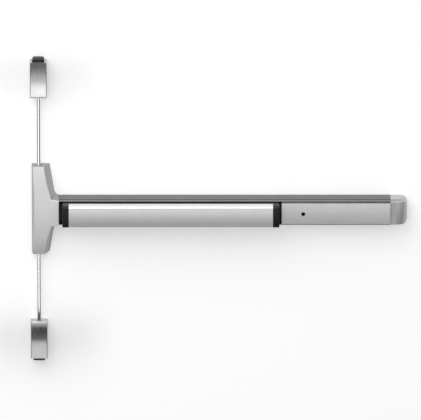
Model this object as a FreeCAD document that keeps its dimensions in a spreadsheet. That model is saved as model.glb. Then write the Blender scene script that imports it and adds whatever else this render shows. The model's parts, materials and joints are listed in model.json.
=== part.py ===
import FreeCAD, Part
import os
import re
import Sketcher
from FreeCAD import Placement, Rotation, Vector

# Panic exit bar with surface vertical rods.  Millimetres.
# The origin is on the door face, at the middle of the chassis fixing holes.
# X runs along the bar, Y goes into the door (the bar stands at negative Y), Z is up.
# "Standoff" below always means distance out from the door face.

SIZES = {
    # chassis plate
    "plate_left": 12.6, "plate_leg_right": 21.0, "plate_right": 33.0, "plate_half": 100.2,
    "plate_waist": 28.0, "plate_thick": 2.5, "tab_thick": 2.5, "tab_left": 12.0, "tab_right": 12.0,
    "tab_out": 15.0, "tongue_start": 27.0, "tongue_end": 62.0, "tongue_half": 24.0,
    "fix_half_x": 7.5, "fix_half_z": 82.0, "fix_hole": 2.6,
    # chassis cover
    "cover_half": 102.5, "cover_left": 15.6, "cover_leg": 24.0, "cover_shoulder": 35.0,
    "cover_neck": 38.5, "cover_tip": 44.0, "shoulder_z": 37.0, "neck_z": 31.9, "tip_z": 28.0,
    "front_left_end": 12.2, "front_left_mid": 9.2, "front_leg": 1.6, "front_shoulder": 25.8,
    "front_neck": 26.5, "front_tip": 45.2, "front_tip_z": 29.0,
    "loft_out": 46.0, "crown_mid": 44.0, "crown_end": 24.0,
    "crown_quarter": 39.21, "cover_wall": 2.0, "rail_clear": 0.3,
    "cover_screw_x": 10.0, "cover_screw_out": 10.0,
    # vertical rods and their latches
    "rod_radius": 4.75, "rod_out": 13.0, "rod_hole": 5.3, "rod_start": 50.0, "rod_end": 310.0,
    "rod_travel": 13.2, "latch_near": 262.0, "latch_far": 346.0, "latch_half": 18.5,
    "latch_out": 28.0, "latch_low_out": 21.5, "latch_mid_out": 26.4, "latch_mid_z": 283.5,
    "latch_bend": 305.0, "latch_wall": 1.5, "latch_plate_half": 16.5, "latch_hole_x": 11.0, "latch_hole_near": 276.0,
    "latch_hole_far": 334.0, "latch_fix_hole": 2.1, "bolt_near": 298.0, "bolt_head": 326.0,
    "bolt_tip": 354.0, "bolt_half": 13.0, "bolt_in": 4.0, "bolt_out": 22.0, "shank_half": 8.0,
    "shank_in": 6.5, "shank_out": 19.5, "bolt_chamfer": 3.0, "ear_z": 316.0, "ear_out": 7.5,
    # rod ends
    "pin_z": 36.6, "pin_radius": 2.5, "pin_slack": 0.35, "clevis_half": 6.5, "clevis_in": 8.0,
    "clevis_out": 18.0, "fork_in": 11.1, "fork_out": 14.9, "fork_below": 7.5, "fork_above": 7.6,
    "clevis_length": 25.0, "nut_flat": 14.0, "nut_height": 6.0,
    # bell cranks
    "crank_x": 24.0, "crank_z": 30.0, "crank_in": 11.5, "crank_thick": 3.0, "crank_hub": 7.5,
    "crank_arm": 4.5, "crank_bore": 4.05, "crank_pin": 4.0, "rod_arm_x": 23.07, "rod_arm_z": 6.6,
    "slide_arm_x": 5.5, "slide_arm_z": 19.23, "shoulder_radius": 6.0,
    # slide plate and drive link
    "slide_in": 5.5, "slide_thick": 3.0, "slide_start": 12.0, "slide_end": 50.0, "slide_half": 15.2,
    "guide_near": 31.0, "guide_far": 40.0, "guide_radius": 2.5, "link_travel": 11.0,
    "lug_start": 46.0, "lug_end": 62.0, "lug_thick": 2.5, "joint_x": 55.0, "joint_out": 11.0,
    "link_start": 50.5, "link_end": 563.4, "link_in": 5.4, "link_out": 15.6, "link_thick": 3.0,
    "tooth_start": 559.0, "tooth_end": 563.0, "tooth_out": 20.5, "notch_out": 13.4,
    # rockers
    "pivot_left": 150.0, "pivot_right": 430.0, "pivot_out": 26.0, "pivot_radius": 3.0,
    "pivot_bore": 3.05, "pad_arm_x": 24.39, "pad_arm_y": 9.0, "link_arm_x": 5.5, "link_arm_y": 14.92,
    "rocker_arm": 4.5, "rocker_hub": 6.0, "cheek_in": 6.75, "cheek_thick": 2.5,
    # rail
    "rail_start": 34.0, "rail_end": 773.7, "rail_half": 28.5, "rail_inner": 26.5, "rail_depth": 40.0,
    "rail_web": 2.2, "groove_in": 29.0, "groove_out": 31.0, "groove_half": 27.4, "lip_half": 28.2,
    "lip_bevel": 1.2, "rail_screw_z": 18.6, "rail_screw_near": 54.0, "rail_screw_far": 762.0,
    # filler
    "filler_start": 534.6, "filler_end": 773.7, "filler_half": 24.0, "filler_out": 47.2,
    "filler_edge_out": 45.8, "filler_wall": 2.2, "filler_back": 30.0, "dog_x": 582.0, "key_hole": 4.5,
    # push pad
    "pad_start": 66.4, "pad_end": 515.3, "pad_half": 25.3, "pad_out": 71.0, "pad_back": 31.0,
    "pad_wall": 2.2, "crown_half": 18.6, "crown_out": 69.2, "corner_out": 62.5, "corner_mid_out": 67.3,
    "corner_mid_z": 23.4, "cap_length": 14.2, "cap_wall_back": 34.5, "tongue_out": 38.5,
    "cap_tongue_half": 20.0, "left_reach": 14.0, "right_reach": 22.0,
    # pad brackets and rocker brackets
    "bracket_half": 10.0, "bracket_web_in": 65.4, "bracket_web": 2.0, "bracket_in": 11.0,
    "bracket_out": 13.0, "bracket_back": 29.0, "seat_half": 18.0, "seat_cheek": 8.0,
    "seat_in": 14.75, "seat_out": 17.25, "seat_thick": 2.2, "seat_top": 33.0, "seat_screw_x": 14.0,
    "seat_screw_z": 9.0, "small_screw": 1.6,
    # return spring and its stops
    "collar_x": 289.0, "collar_thick": 2.5, "collar_radius": 7.6, "anchor_x": 330.0,
    "anchor_thick": 2.5, "anchor_half": 13.0, "anchor_top": 19.5, "anchor_foot": 16.0,
    "spring_out": 10.5, "coil_radius": 6.2, "wire_radius": 0.7,
    # dogging gear
    "house_half": 10.0, "house_foot": 24.0, "house_in": 19.0, "house_outer": 21.2, "house_top": 27.2,
    "shaft_radius": 4.0, "shaft_bore": 4.05, "shaft_back": 16.6, "shaft_front": 40.4,
    "shaft_collar": 7.0, "hook_in": 17.0, "hook_out": 20.0, "hook_hub": 6.5, "hook_inner": 13.5,
    "hook_outer": 17.5, "key_flat": 5.0,
    # end cap and end bracket
    "cap_start": 774.0, "cap_end": 810.0, "cap_half": 28.5, "cap_corner": 14.0, "cap_lip": 785.7,
    "cap_lip_out": 43.6, "cap_mid_x": 801.5, "cap_mid_out": 38.6, "cap_end_out": 28.0,
    "cap_ledge": 30.0, "ledge_half": 26.0, "cap_wall": 2.5, "cap_end_wall": 4.0,
    "end_plate_start": 776.0, "end_plate_end": 803.0, "end_plate_half": 21.0, "end_plate_thick": 3.0,
    "end_tongue": 752.0, "end_tab_top": 20.0, "end_tab_half": 13.0, "end_tab_x": 803.0,
    "end_hole_x": 789.0, "end_hole_z": 13.0, "end_screw_z": 8.0, "end_screw_out": 12.0,
}

FRONT = "XZ_Plane"
PLAN = "XY_Plane"
SIDE = "YZ_Plane"

os.makedirs("parts", exist_ok=True)
doc = FreeCAD.newDocument("exit_bar")
dim = doc.addObject("Spreadsheet::Sheet", "dim")
for row, (alias, size) in enumerate(SIZES.items(), start=1):
    dim.set(f"A{row}", alias)
    dim.set(f"B{row}", str(size))
    dim.setAlias(f"B{row}", alias)
doc.recompute()

nodes = []


def bound(text):
    """An expression in which every name with an underscore is a size on the sheet."""
    return re.sub(r"\b([a-z]+(?:_[a-z]+)+)\b", r"dim.\1", str(text))


def number(text):
    return float(dim.evalExpression(bound(text)))


def body(label):
    made = doc.addObject("PartDesign::Body", label)
    made.Label = label
    return made


def place(thing, x="0", y="0", z="0", axis=Vector(0, 0, 1), angle=0):
    thing.Placement = Placement(Vector(number(x), number(y), number(z)), Rotation(axis, angle))
    for letter, text in zip("xyz", (x, y, z)):
        thing.setExpression(f"Placement.Base.{letter}", bound(text))


def keep(thing, label=None):
    """Mark a finished sub-part; its label is the name of its file."""
    thing.Label = label or thing.Label
    nodes.append(thing)
    return thing


def fix(sketch, index, point, x, y):
    """Hold one point of a sketch at sheet-driven coordinates."""
    for kind, text in (("DistanceX", x), ("DistanceY", y)):
        held = sketch.addConstraint(Sketcher.Constraint(kind, -1, 1, index, point, number(text)))
        sketch.setExpression(f"Constraints[{held}]", bound(text))


def arc(start, through, end):
    """An arc that always runs anticlockwise, as sketches want it."""
    if (through - start).cross(end - through).z < 0:
        start, end = end, start
    return Part.Arc(start, through, end)


def ends_of(sketch, index, start):
    """The point numbers (first, last) of a segment drawn from start."""
    drawn = sketch.Geometry[index]
    return (1, 2) if (drawn.StartPoint - start).Length < 1e-6 else (2, 1)


def add_loop(sketch, corners):
    """A closed outline; a corner with four entries ends an arc through its last two."""
    spots = [Vector(number(c[0]), number(c[1]), 0) for c in corners]
    drawn = []
    for i, corner in enumerate(corners):
        start = spots[i - 1]
        if len(corner) == 4:
            through = Vector(number(corner[2]), number(corner[3]), 0)
            index = sketch.addGeometry(arc(start, through, spots[i]))
            mark = sketch.addGeometry(Part.Point(through), True)
            fix(sketch, mark, 1, corner[2], corner[3])
            sketch.addConstraint(Sketcher.Constraint("PointOnObject", mark, 1, index))
        else:
            index = sketch.addGeometry(Part.LineSegment(start, spots[i]))
        first, last = ends_of(sketch, index, start)
        fix(sketch, index, last, corner[0], corner[1])
        drawn.append((index, first, last))
    for i, (index, first, _) in enumerate(drawn):
        before, _, last = drawn[i - 1]
        sketch.addConstraint(Sketcher.Constraint("Coincident", before, last, index, first))


def add_circle(sketch, x, y, radius):
    index = sketch.addGeometry(Part.Circle(Vector(number(x), number(y), 0), Vector(0, 0, 1), number(radius)))
    fix(sketch, index, 3, x, y)
    held = sketch.addConstraint(Sketcher.Constraint("Radius", index, number(radius)))
    sketch.setExpression(f"Constraints[{held}]", bound(radius))


def add_slot(sketch, x, y, end_x, end_y, radius):
    """A round-ended slot or bar between two centres."""
    a = Vector(number(x), number(y), 0)
    b = Vector(number(end_x), number(end_y), 0)
    along = (b - a).normalize()
    side = Vector(-along.y, along.x, 0) * number(radius)
    tip = along * number(radius)
    ends = [sketch.addGeometry(arc(a + side, a - tip, a - side)),
            sketch.addGeometry(arc(b - side, b + tip, b + side))]
    flats = [sketch.addGeometry(Part.LineSegment(a - side, b - side)),
             sketch.addGeometry(Part.LineSegment(b + side, a + side))]
    joins = ((ends[0], a - side, flats[0], 1), (flats[0], None, ends[1], b - side),
             (ends[1], b + side, flats[1], 1), (flats[1], None, ends[0], a + side))
    for one, spot, other, mark in joins:
        point = 2 if spot is None else (1 if (sketch.Geometry[one].StartPoint - spot).Length < 1e-6 else 2)
        if not isinstance(mark, int):
            mark = 1 if (sketch.Geometry[other].StartPoint - mark).Length < 1e-6 else 2
        sketch.addConstraint(Sketcher.Constraint("Tangent", one, point, other, mark))
    fix(sketch, ends[0], 3, x, y)
    fix(sketch, ends[1], 3, end_x, end_y)
    held = sketch.addConstraint(Sketcher.Constraint("Radius", ends[0], number(radius)))
    sketch.setExpression(f"Constraints[{held}]", bound(radius))


def draw(owner, plane, offset, *shapes):
    """A sketch on one of the body's own planes, moved along its normal by offset."""
    sketch = owner.newObject("Sketcher::SketchObject", "sketch")
    origin = next(f for f in owner.Origin.OriginFeatures if f.Role == plane)
    sketch.AttachmentSupport = [(origin, "")]
    sketch.MapMode = "FlatFace"
    sketch.AttachmentOffset = Placement(Vector(0, 0, number(offset)), Rotation())
    sketch.setExpression("AttachmentOffset.Base.z", bound(offset))
    for shape in shapes:
        if isinstance(shape, list):
            add_loop(sketch, shape)
        elif len(shape) == 3:
            add_circle(sketch, *shape)
        else:
            add_slot(sketch, *shape)
    return sketch


def pad(owner, plane, offset, length, *shapes, both=False):
    made = owner.newObject("PartDesign::Pad", "pad")
    made.Profile = draw(owner, plane, offset, *shapes)
    made.setExpression("Length", bound(length))
    if both:
        made.SideType = "Symmetric"
    doc.recompute()
    return made


def cut(owner, plane, offset, length, *shapes, both=False):
    before = owner.Shape.Volume
    made = owner.newObject("PartDesign::Pocket", "pocket")
    made.Profile = draw(owner, plane, offset, *shapes)
    made.setExpression("Length", bound(length))
    if both:
        made.SideType = "Symmetric"
    doc.recompute()
    if owner.Shape.Volume > before - 1e-3:
        raise RuntimeError(f"a pocket in {owner.Label} removed nothing")
    return made


def turn(owner, plane, profile, axis):
    made = owner.newObject("PartDesign::Revolution", "revolution")
    sketch = draw(owner, plane, "0", profile)
    made.Profile = sketch
    made.ReferenceAxis = (sketch, [axis])
    made.Angle = 360
    doc.recompute()
    return made


def rounded(owner, radius, wanted, kind="Fillet"):
    """Round or chamfer the edges for which wanted(edge) is true."""
    tip = owner.Tip
    names = [f"Edge{i}" for i, edge in enumerate(tip.Shape.Edges, start=1) if wanted(edge)]
    made = owner.newObject(f"PartDesign::{kind}", kind.lower())
    made.Base = (tip, names)
    made.setExpression("Radius" if kind == "Fillet" else "Size", bound(radius))
    doc.recompute()
    if not names or "Invalid" in made.State:
        raise RuntimeError(f"edges of {owner.Label} could not be rounded: {names}")
    return made


def runs(edge, axis):
    """Whether a straight edge runs along the given axis."""
    if len(edge.Vertexes) != 2 or "Line" not in edge.Curve.TypeId:
        return False
    way = edge.Vertexes[1].Point - edge.Vertexes[0].Point
    return way.Length > 0.01 and abs(way.normalize().dot(axis)) > 0.999


def box(x0, z0, x1, z1):
    return [(x0, z0), (x1, z0), (x1, z1), (x0, z1)]


def group(label, source, spots):
    """Several copies of one finished body, held together as one named sub-part."""
    links = []
    for x, y, z, axis, angle in spots:
        link = doc.addObject("App::Link", label + "_copy")
        link.LinkedObject = source
        link.LinkTransform = False
        place(link, x, y, z, axis, angle)
        links.append(link)
    made = doc.addObject("Part::Compound", label)
    made.Links = links
    doc.recompute()
    return keep(made, label)


X, Y, Z = Vector(1, 0, 0), Vector(0, 1, 0), Vector(0, 0, 1)


# ---- chassis -------------------------------------------------------------------------------

def chassis_plate():
    b = body("chassis_plate")
    pad(b, FRONT, "0", "plate_thick", [
        ("-plate_left", "-plate_half"), ("plate_leg_right", "-plate_half"),
        ("plate_leg_right", "-plate_waist"), ("plate_right", "-plate_waist"),
        ("plate_right", "plate_waist"), ("plate_leg_right", "plate_waist"),
        ("plate_leg_right", "plate_half"), ("-plate_left", "plate_half")])
    for sign in ("", "-"):
        pad(b, FRONT, "plate_thick", "tab_out - plate_thick",
            box("-tab_left", f"{sign}(plate_half - tab_thick)", "tab_right", f"{sign}plate_half"))
    pad(b, FRONT, "plate_thick", "plate_thick",
        box("tongue_start", "-tongue_half", "tongue_end", "tongue_half"))
    cut(b, FRONT, "plate_thick", "plate_thick",
        *[(f"{a}fix_half_x", f"{c}fix_half_z", "fix_hole") for a in ("", "-") for c in ("", "-")])
    cut(b, PLAN, "0", "2.2 * plate_half", ("0", "-rod_out", "rod_hole"),
        ("-cover_screw_x", "-cover_screw_out", "small_screw"),
        ("cover_screw_x", "-cover_screw_out", "small_screw"), both=True)
    cut(b, FRONT, "2 * plate_thick", "plate_thick",
        ("guide_near", "0", "guide_radius"), ("guide_far", "0", "guide_radius"),
        ("rail_screw_near", "rail_screw_z", "small_screw"),
        ("rail_screw_near", "-rail_screw_z", "small_screw"))
    keep(b)


def cover_solid(label, inset):
    """The cover's outer form, or the hollow inside it when inset is the wall thickness."""
    b = body(label)
    w = inset

    def outline(left_end, left_mid, leg, shoulder, neck, tip, tip_z):
        right = [(f"{leg} - {w}", f"cover_half - {w}"), (f"{shoulder} - {w}", f"shoulder_z - {w}"),
                 (f"{neck} - {w}", f"neck_z - {w}"), (f"{tip} - {w}", f"{tip_z} - {w}")]
        lower = [(x, f"-({z})") for x, z in right]
        low, high = f"-({left_end} - {w})", f"cover_half - {w}"
        return [(low, f"-({high})", f"-({left_mid} - {w})", "0")] + lower + right[::-1] + [(low, high)]

    loft = b.newObject("PartDesign::AdditiveLoft", "loft")
    back = outline("cover_left", "cover_left + 0.02", "cover_leg", "cover_shoulder", "cover_neck",
                   "cover_tip", "tip_z")
    front = outline("front_left_end", "front_left_mid", "front_leg", "front_shoulder", "front_neck",
                    "front_tip", "front_tip_z")
    loft.Profile = draw(b, FRONT, "0", back)
    loft.Sections = [draw(b, FRONT, "loft_out", front)]
    loft.Ruled = True
    doc.recompute()
    crown = body(label + "_crown")
    low, high = f"-(crown_end - {w})", f"(cover_half - {w})"
    pad(crown, SIDE, "0", "4 * cover_half", [
        ("5", f"-{high}"), (low, f"-{high}"),
        (low, high, f"-(crown_mid - {w})", "0"), ("5", high)], both=True)
    crowned = doc.addObject("Part::Common", label + "_crowned")
    crowned.Base = b
    crowned.Tool = crown
    doc.recompute()
    return crowned


def chassis_cover():
    outer = cover_solid("cover_outer", "0")
    rims = doc.addObject("Part::Fillet", "cover_rims")
    rims.Base = outer
    rims.Edges = [(i, 2, 2) for i, edge in enumerate(outer.Shape.Edges, start=1) if edge.BoundBox.YMax < -20]
    inner = cover_solid("cover_inner", "cover_wall")
    hollow = doc.addObject("Part::Cut", "cover_hollow")
    hollow.Base = rims
    hollow.Tool = inner
    rail_space = doc.addObject("Part::Box", "rail_space")
    for prop, text in (("Length", "40"), ("Width", "rail_depth + rail_clear"),
                       ("Height", "2 * (rail_half + rail_clear)")):
        rail_space.setExpression(prop, bound(text))
    place(rail_space, "rail_start - rail_clear", "-(rail_depth + rail_clear)", "-(rail_half + rail_clear)")
    saddled = doc.addObject("Part::Cut", "cover_saddled")
    saddled.Base = hollow
    saddled.Tool = rail_space
    drills = body("cover_drills")
    pad(drills, PLAN, "0", "4 * cover_half", ("0", "-rod_out", "rod_hole"),
        ("-cover_screw_x", "-cover_screw_out", "small_screw"),
        ("cover_screw_x", "-cover_screw_out", "small_screw"), both=True)
    made = doc.addObject("Part::Cut", "chassis_cover")
    made.Base = saddled
    made.Tool = drills
    doc.recompute()
    keep(made, "chassis_cover")


def pan_screw(label, shank, head, length, head_height):
    """A round-headed screw standing along +Z, its head's underside at zero."""
    b = body(label)
    turn(b, "XZ_Plane", [
        ("0", f"-{length}"), (shank, f"-{length}"), (shank, "0"), (head, "0"),
        (head, f"0.5 * {head_height}"), (f"0.6 * {head}", head_height), ("0", head_height)], "V_Axis")
    cut(b, PLAN, head_height, f"0.55 * {head_height}",
        box(f"-0.75 * {head}", "-0.3", f"0.75 * {head}", "0.3"))
    return b


def crank_pivots():
    pivot = body("crank_pivot")
    turn(pivot, "XZ_Plane", [
        ("0", "0"), ("shoulder_radius", "0"), ("shoulder_radius", "crank_in - 0.3 - plate_thick"),
        ("crank_pin", "crank_in - 0.3 - plate_thick"), ("crank_pin", "15"), ("0", "15")], "V_Axis")
    spots = [("crank_x", "-plate_thick", sign + "crank_z", X, 90) for sign in ("", "-")]
    group("crank_pivot_pins", pivot, spots)
    clip = body("crank_clip")
    pad(clip, PLAN, "0", "1.2", ("0", "0", "shoulder_radius"))
    cut(clip, PLAN, "1.2", "1.2", ("0", "0", "crank_pin"))
    cut(clip, PLAN, "1.2", "1.2", box("0", "-0.6 * crank_pin", "10", "0.6 * crank_pin"))
    spots = [("crank_x", "-(crank_in + crank_thick + 0.5)", sign + "crank_z", X, 90) for sign in ("", "-")]
    group("crank_clips", clip, spots)


def slide_guides():
    b = body("slide_guide")
    turn(b, "XZ_Plane", [
        ("0", "0"), ("guide_radius", "0"), ("guide_radius", "6.5"), ("4", "6.5"), ("4", "8.4"), ("0", "8.4")],
        "V_Axis")
    spots = [(x, "-plate_thick", "0", X, 90) for x in ("guide_near", "guide_far")]
    group("slide_guide_screws", b, spots)


def crank(label, sign, angle):
    b = body(label)
    for arm in (("0", "0", "-rod_arm_x", "rod_arm_z", "crank_arm"),
                ("0", "0", "-slide_arm_x", "-slide_arm_z", "crank_arm"), ("0", "0", "crank_hub")):
        pad(b, FRONT, "0", "crank_thick", arm, both=True)
    cut(b, FRONT, "0", "2 * crank_thick", ("0", "0", "crank_bore"),
        ("-rod_arm_x", "rod_arm_z", "pin_radius"), ("-slide_arm_x", "-slide_arm_z", "pin_radius"), both=True)
    place(b, "crank_x", "-(crank_in + crank_thick / 2)", sign + "crank_z", X, angle)
    keep(b)
    rod = doc.addObject("Part::Cylinder", label + "_rod_pin")
    slide = doc.addObject("Part::Cylinder", label + "_slide_pin")
    for pin, low, high, x, z in (
            (rod, "clevis_in + 0.3", "clevis_out - 0.3", "crank_x - rod_arm_x", "crank_z + rod_arm_z"),
            (slide, "slide_in + 0.2", "crank_in + crank_thick + 0.5",
             "crank_x - slide_arm_x", "crank_z - slide_arm_z")):
        pin.setExpression("Radius", bound("pin_radius"))
        pin.setExpression("Height", bound(f"{high} - ({low})"))
        place(pin, x, f"-({low})", f"{sign}({z})", X, 90)
    both = doc.addObject("Part::Compound", label + "_pins")
    both.Links = [rod, slide]
    doc.recompute()
    keep(both, label + "_pins")


def slide_plate():
    b = body("slide_plate")
    pad(b, FRONT, "slide_in", "slide_thick", box("slide_start", "-slide_half", "slide_end", "slide_half"))
    for sign in ("", "-"):
        pad(b, FRONT, "slide_in", "link_out - slide_in",
            box("lug_start", f"{sign}(link_thick / 2 + 0.1)",
                "lug_end", f"{sign}(link_thick / 2 + 0.1 + lug_thick)"))
    mid = "crank_z - slide_arm_z - 0.385"
    slots = [("crank_x - slide_arm_x", f"{s}({mid} - 0.735)", "crank_x - slide_arm_x", f"{s}({mid} + 0.735)",
              "pin_radius + pin_slack") for s in ("", "-")]
    slots.append(("guide_near - link_travel", "0", "guide_far", "0", "guide_radius + pin_slack"))
    cut(b, FRONT, "slide_in + slide_thick", "slide_thick", *slots)
    cut(b, PLAN, "0", "20", ("joint_x", "-joint_out", "pin_radius"), both=True)
    keep(b)


def drive_link():
    b = body("drive_link")
    pad(b, PLAN, "0", "link_thick", [
        ("link_start", "-link_in"), ("link_end", "-link_in"), ("link_end", "-link_out"),
        ("tooth_end", "-link_out"), ("tooth_end", "-tooth_out"), ("tooth_start", "-tooth_out"),
        ("tooth_start", "-link_out"), ("link_start", "-link_out")], both=True)
    for p in ("pivot_left", "pivot_right"):
        cut(b, PLAN, "0", "2 * link_thick", [
            (f"{p} - 42", "-notch_out"), (f"{p} - 20", "-notch_out"),
            (f"{p} - 20", "-(link_out + 1)"), (f"{p} - 42", "-(link_out + 1)")], both=True)
    mid = "pivot_out - link_arm_y - 0.49"
    slots = [(f"{p} - link_arm_x", f"-({mid} - 0.84)", f"{p} - link_arm_x", f"-({mid} + 0.84)",
              "pin_radius + pin_slack") for p in ("pivot_left", "pivot_right")]
    cut(b, PLAN, "0", "2 * link_thick", ("joint_x", "-joint_out", "pin_radius"), *slots, both=True)
    keep(b)
    pin = doc.addObject("Part::Cylinder", "link_joint_pin")
    pin.setExpression("Radius", bound("pin_radius"))
    pin.Height = 10
    place(pin, "joint_x", "-joint_out", "-5")
    keep(pin)
    collar = body("spring_collar")
    pad(collar, SIDE, "0", "collar_thick", ("0", "0", "collar_radius"))
    cut(collar, SIDE, "collar_thick", "collar_thick",
        box("spring_out - link_out", "-link_thick / 2", "spring_out - link_in", "link_thick / 2"))
    place(collar, "collar_x", "-spring_out", "0")
    keep(collar)


# ---- rail, pad and mechanism ---------------------------------------------------------------

def bracket_spots():
    """Where the small screws stand that hold the brackets in the rail."""
    top = "-(rail_web + seat_thick)"
    spots = [(f"{p} + {s}seat_screw_x", top, f"{s}(-seat_screw_z)", X, 90)
             for p in ("pivot_left", "pivot_right") for s in ("1 * ", "-1 * ")]
    spots += [("anchor_x + anchor_foot / 2 + 1", top, f"{s}seat_screw_z", X, 90) for s in ("", "-")]
    spots += [(f"dog_x + {s}0.8 * house_foot", top, f"{s}(-11)", X, 90) for s in ("1 * ", "-1 * ")]
    return spots


def rail():
    b = body("rail")
    side = [("0", "rail_half"), ("-groove_in", "rail_half"), ("-groove_in", "groove_half"),
            ("-groove_out", "groove_half"), ("-groove_out", "lip_half"),
            ("-(rail_depth - lip_bevel)", "lip_half"), ("-rail_depth", "lip_half - lip_bevel"),
            ("-rail_depth", "rail_inner"), ("-rail_web", "rail_inner")]
    lower = [(y, f"-({z})") for y, z in side]
    pad(b, SIDE, "rail_start", "rail_end - rail_start", lower + side[::-1])
    cut(b, FRONT, "rail_web", "rail_web",
        *[(x, f"{s}rail_screw_z", "small_screw")
          for x in ("rail_screw_near", "rail_screw_far") for s in ("", "-")],
        *[(x, z, "small_screw") for x, _, z, _, _ in bracket_spots()])
    keep(b)
    screw = pan_screw("rail_screw", "small_screw", "3", "4.6", "2")
    spots = [(x, "-(2 * plate_thick)", f"{s}rail_screw_z", X, 90)
             for x in ("rail_screw_near", "rail_screw_far") for s in ("", "-")]
    group("rail_screws", screw, spots)


def rail_filler():
    b = body("rail_filler")
    w = "filler_wall"
    foot = "(filler_back + filler_wall)"
    pad(b, SIDE, "filler_start", "filler_end - filler_start", [
        ("-filler_back", "-(rail_inner - 0.1)"),
        (f"-{foot}", "-(rail_inner - 0.1)"),
        (f"-{foot}", "-filler_half"),
        ("-filler_edge_out", "-filler_half"),
        ("-filler_edge_out", "filler_half", "-filler_out", "0"),
        (f"-{foot}", "filler_half"),
        (f"-{foot}", "rail_inner - 0.1"),
        ("-filler_back", "rail_inner - 0.1"),
        ("-filler_back", f"filler_half - {w}"),
        (f"-(filler_edge_out - {w})", f"filler_half - {w}"),
        (f"-(filler_edge_out - {w})", f"-(filler_half - {w})", f"-(filler_out - {w})", "0"),
        ("-filler_back", f"-(filler_half - {w})")])
    cut(b, FRONT, "filler_out + 1", "10", ("dog_x", "0", "key_hole"))
    keep(b)


def pad_outline(inset="0"):
    """Half-round-cornered front of the pad, from its lower back edge to its upper one."""
    w = inset
    return [("-pad_back", f"-(pad_half - {w})"), ("-corner_out", f"-(pad_half - {w})"),
            (f"-(crown_out - {w})", "-crown_half",
             f"-(corner_mid_out - 0.7 * {w})", f"-(corner_mid_z - 0.7 * {w})"),
            (f"-(crown_out - {w})", "crown_half", f"-(pad_out - {w})", "0"),
            ("-corner_out", f"pad_half - {w}", f"-(corner_mid_out - 0.7 * {w})", f"corner_mid_z - 0.7 * {w}"),
            ("-pad_back", f"pad_half - {w}")]


def push_pad():
    b = body("push_pad")
    pad(b, SIDE, "pad_start", "pad_end - pad_start", pad_outline())
    cut(b, SIDE, "pad_end", "pad_end - pad_start", pad_outline("pad_wall"))
    keep(b)


def pad_cap(label, reach, angle):
    """End cap of the pad, built at its inner end going +X, with a tongue that stays under its neighbour."""
    b = body(label)
    pad(b, SIDE, "0", "cap_length", pad_outline())
    cut(b, SIDE, "cap_length - pad_wall", "cap_length - pad_wall", pad_outline("pad_wall"))
    cut(b, FRONT, "cap_wall_back", "cap_wall_back",
        box("cap_length - 2 * pad_wall", "-(pad_half - pad_wall)", "cap_length + 1", "pad_half - pad_wall"))
    pad(b, FRONT, "cap_wall_back", "tongue_out - cap_wall_back",
        box("cap_length - pad_wall", "-cap_tongue_half", f"cap_length + {reach}", "cap_tongue_half"))
    rounded(b, "1.8", lambda e: e.BoundBox.XLength < 0.01
            and abs(e.BoundBox.XMax - number("cap_length")) < 0.01
            and e.BoundBox.YMin < -60 and "Line" not in e.Curve.TypeId)
    place(b, "pad_end" if angle == 0 else "pad_start", "0", "0", Z, angle)
    keep(b)


def pad_cap_left():
    """Mirror image of the right cap, because the pad is not symmetric front to back."""
    source = body("left_cap_form")
    pad(source, SIDE, "0", "cap_length", pad_outline())
    cut(source, SIDE, "cap_length", "cap_length - pad_wall", pad_outline("pad_wall"))
    cut(source, FRONT, "cap_wall_back", "cap_wall_back",
        box("-1", "-(pad_half - pad_wall)", "2 * pad_wall", "pad_half - pad_wall"))
    pad(source, FRONT, "cap_wall_back", "tongue_out - cap_wall_back",
        box("-left_reach", "-cap_tongue_half", "pad_wall", "cap_tongue_half"))
    rounded(source, "1.8", lambda e: e.BoundBox.XLength < 0.01 and abs(e.BoundBox.XMax) < 0.01
            and e.BoundBox.YMin < -60 and "Line" not in e.Curve.TypeId)
    place(source, "pad_start - cap_length", "0", "0")
    keep(source, "pad_cap_left")


def pad_bracket(label, pivot):
    b = body(label)
    pad(b, FRONT, "bracket_web_in", "bracket_web",
        box("-bracket_half", "-bracket_out", "bracket_half", "bracket_out"))
    for sign in ("", "-"):
        pad(b, FRONT, "bracket_back", "bracket_web_in - bracket_back",
            box("-0.8 * bracket_half", f"{sign}bracket_in", "0.8 * bracket_half", f"{sign}bracket_out"))
    out = "-(pivot_out + pad_arm_y)"
    cut(b, PLAN, "0", "40", ("-1.7", out, "0.1", out, "pin_radius + pin_slack"), both=True)
    place(b, f"{pivot} - pad_arm_x", "0", "0")
    keep(b)


def rocker(label, pivot):
    b = body(label)
    pad(b, PLAN, "0", "2 * cheek_in", ("0", "0", "rocker_hub"), both=True)
    for sign in (1, -1):
        base = "cheek_in" if sign > 0 else "-(cheek_in + cheek_thick)"
        for arm in (("0", "0", "-pad_arm_x", "-pad_arm_y", "rocker_arm"),
                    ("0", "0", "-link_arm_x", "link_arm_y", "rocker_arm"), ("0", "0", "rocker_hub")):
            pad(b, PLAN, base, "cheek_thick", arm)
    cut(b, PLAN, "0", "40", ("0", "0", "pivot_bore"), ("-pad_arm_x", "-pad_arm_y", "pin_radius"),
        ("-link_arm_x", "link_arm_y", "pin_radius"), both=True)
    place(b, pivot, "-pivot_out", "0")
    keep(b)
    pins = []
    for half, x, y in (("seat_in - 0.5", "-pad_arm_x", "-pad_arm_y"),
                       ("cheek_in + cheek_thick", "-link_arm_x", "link_arm_y")):
        pin = doc.addObject("Part::Cylinder", label + "_pin")
        pin.setExpression("Radius", bound("pin_radius"))
        pin.setExpression("Height", bound(f"2 * ({half})"))
        place(pin, f"{pivot} + ({x})", f"-pivot_out + ({y})", f"-({half})")
        pins.append(pin)
    both = doc.addObject("Part::Compound", label + "_pins")
    both.Links = pins
    doc.recompute()
    keep(both, label + "_pins")


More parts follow.
